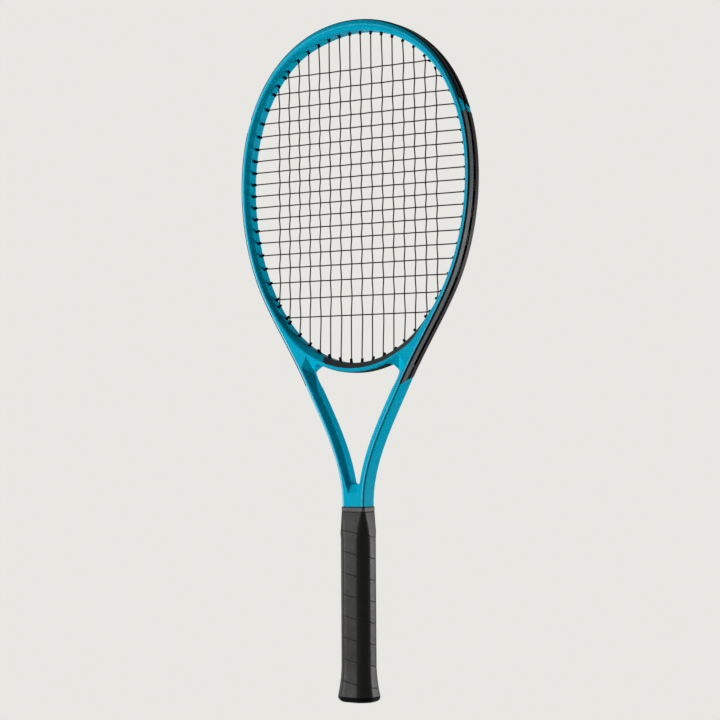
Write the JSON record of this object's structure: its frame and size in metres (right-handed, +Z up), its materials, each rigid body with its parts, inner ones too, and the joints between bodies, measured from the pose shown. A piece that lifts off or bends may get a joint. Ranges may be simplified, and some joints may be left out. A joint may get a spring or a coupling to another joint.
{
  "type": "tennis racket",
  "caption": "Strung tennis racket with an oval head, open throat, hollow teal frame, black strings, bumper guard, grommet strips, wound grip and flared butt cap.",
  "frame": {"origin": "middle of the butt end, on the plane of the butt cap's flat bottom", "axes": "+Z up the handle to the tip, X across the string bed, -Y out of the front face"},
  "size_m": [0.2744, 0.035, 0.685],
  "materials": {
    "frame": "satin teal paint over moulded composite",
    "bumper_guard": "moulded black",
    "grommet_strip_left": "moulded dark grey",
    "grommet_strip_right": "moulded dark grey",
    "throat_grommet_strip": "moulded black",
    "main_string": "smooth black monofilament",
    "cross_string": "smooth black monofilament",
    "handle_pallet_front": "rigid foam",
    "handle_pallet_back": "rigid foam",
    "butt_cap": "moulded black",
    "butt_cap_door": "moulded black",
    "butt_cap_staple_left": "bright wire",
    "butt_cap_staple_right": "bright wire",
    "grip_wrap": "black synthetic leather",
    "grip_collar": "soft dark grey rubber",
    "foam_plug_left": "soft foam",
    "foam_plug_right": "soft foam"
  },
  "bodies": {
    "racket": {"frame": "frame", "bumper_guard": "bumper_guard", "grommet_strip_left": "grommet_strip_left", "grommet_strip_right": "grommet_strip_right", "throat_grommet_strip": "throat_grommet_strip", "main_string": "main_string", "cross_string": "cross_string", "handle_pallet_front": "handle_pallet_front", "handle_pallet_back": "handle_pallet_back", "butt_cap": "butt_cap", "butt_cap_staple_left": "butt_cap_staple_left", "butt_cap_staple_right": "butt_cap_staple_right", "grip_wrap": "grip_wrap", "foam_plug_left": "foam_plug_left", "foam_plug_right": "foam_plug_right"},
    "collar": {"grip_collar": "grip_collar"},
    "door": {"butt_cap_door": "butt_cap_door"}
  },
  "joints": [
    {"name": "collar_slide", "type": "slide", "parent": "racket", "child": "collar", "axis": [0, 0, 1], "range_m": [0, 0.008]},
    {"name": "door_pull", "type": "slide", "parent": "racket", "child": "door", "axis": [0, 0, -1], "range_m": [0, 0.012]}
  ]
}
